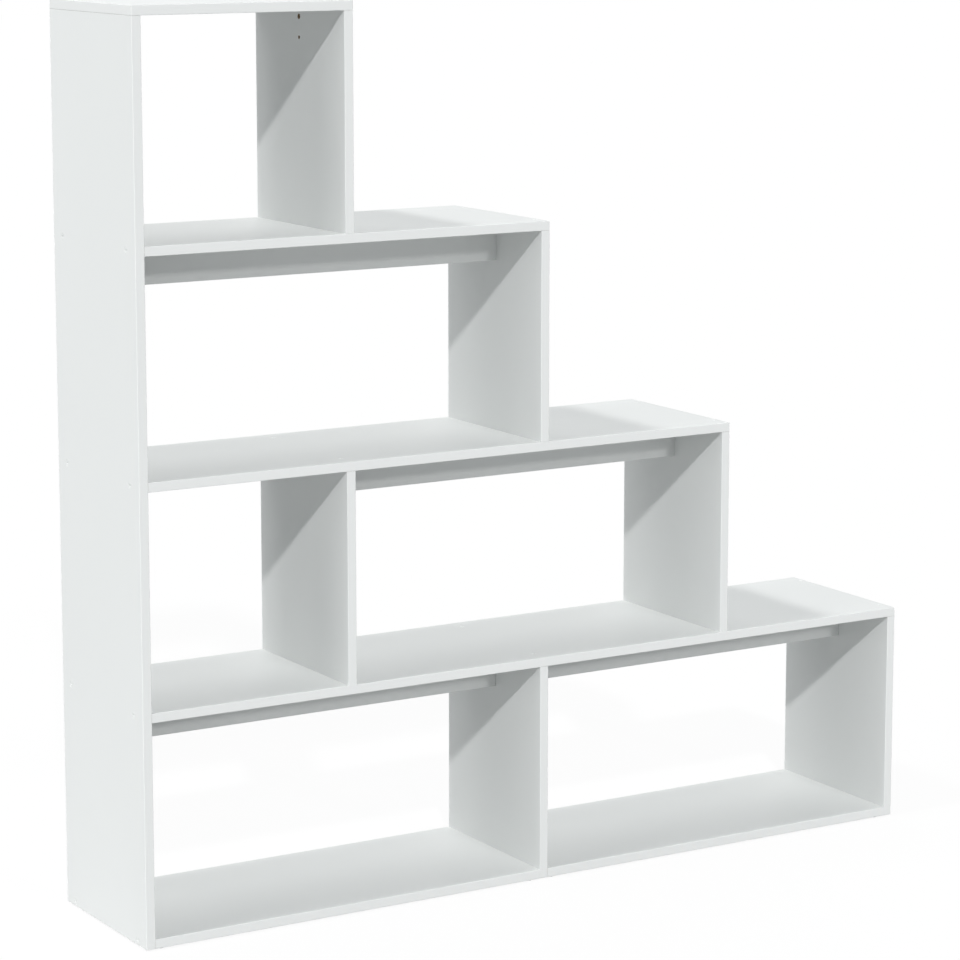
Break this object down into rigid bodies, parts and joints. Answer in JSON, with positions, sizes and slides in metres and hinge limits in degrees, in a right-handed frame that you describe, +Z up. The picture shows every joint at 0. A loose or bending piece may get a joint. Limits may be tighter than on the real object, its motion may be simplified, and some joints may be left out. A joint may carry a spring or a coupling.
{
  "type": "room divider bookcase",
  "caption": "White open-backed stair-shaped bookcase of flat boards, each tier one compartment narrower than the tier below, with stiffening rails and small glides.",
  "frame": {"origin": "on the floor, under the middle of the bookcase's width and depth", "axes": "+X from the tall end towards the low end, +Y from the front to the back, +Z up"},
  "size_m": [1.427, 0.29, 1.43],
  "materials": {
    "white_board": "smooth satin white foil on particle board, banded edges",
    "white_rail": "smooth satin white foil on particle board, banded edges",
    "white_screw": "white lacquered steel",
    "beech_dowel": "plain turned beech",
    "grey_plastic": "dark grey moulded plastic"
  },
  "bodies": {
    "root": {"base_dowel_back": "beech_dowel", "base_dowel_front": "beech_dowel", "base_left": "white_board", "base_right": "white_board", "glide_base_left_back_left": "grey_plastic", "glide_base_left_back_right": "grey_plastic", "glide_base_left_front_left": "grey_plastic", "glide_base_left_front_right": "grey_plastic", "glide_base_right_back_left": "grey_plastic", "glide_base_right_back_right": "grey_plastic", "glide_base_right_front_left": "grey_plastic", "glide_base_right_front_right": "grey_plastic", "left_side": "white_board", "rail_tier1_left": "white_rail", "rail_tier1_right": "white_rail", "rail_tier2": "white_rail", "rail_tier3": "white_rail", "screw_shelf1_to_tier1_divider_back": "white_screw", "screw_shelf1_to_tier1_divider_front": "white_screw", "screw_shelf1_to_tier1_right_back": "white_screw", "screw_shelf1_to_tier1_right_front": "white_screw", "screw_shelf1_to_tier2_divider_back": "white_screw", "screw_shelf1_to_tier2_divider_front": "white_screw", "screw_shelf1_to_tier2_right_back": "white_screw", "screw_shelf1_to_tier2_right_front": "white_screw", "screw_shelf2_to_tier2_divider_back": "white_screw", "screw_shelf2_to_tier2_divider_front": "white_screw", "screw_shelf2_to_tier2_right_back": "white_screw", "screw_shelf2_to_tier2_right_front": "white_screw", "screw_shelf2_to_tier3_right_back": "white_screw", "screw_shelf2_to_tier3_right_front": "white_screw", "screw_shelf3_to_tier3_right_back": "white_screw", "screw_shelf3_to_tier3_right_front": "white_screw", "screw_shelf3_to_tier4_right_back": "white_screw", "screw_shelf3_to_tier4_right_front": "white_screw", "screw_side_to_base_left_back": "white_screw", "screw_side_to_base_left_front": "white_screw", "screw_side_to_base_right_back": "white_screw", "screw_side_to_base_right_front": "white_screw", "screw_side_to_shelf_1_back": "white_screw", "screw_side_to_shelf_1_front": "white_screw", "screw_side_to_shelf_2_back": "white_screw", "screw_side_to_shelf_2_front": "white_screw", "screw_side_to_shelf_3_back": "white_screw", "screw_side_to_shelf_3_front": "white_screw", "screw_top_to_left_side_back": "white_screw", "screw_top_to_left_side_front": "white_screw", "screw_top_to_tier4_right_back": "white_screw", "screw_top_to_tier4_right_front": "white_screw", "shelf_1": "white_board", "shelf_2": "white_board", "shelf_3": "white_board", "tier1_divider": "white_board", "tier1_right_side": "white_board", "tier2_divider": "white_board", "tier2_right_side": "white_board", "tier3_right_side": "white_board", "tier4_right_side": "white_board", "top_panel": "white_board"}
  },
  "joints": []
}
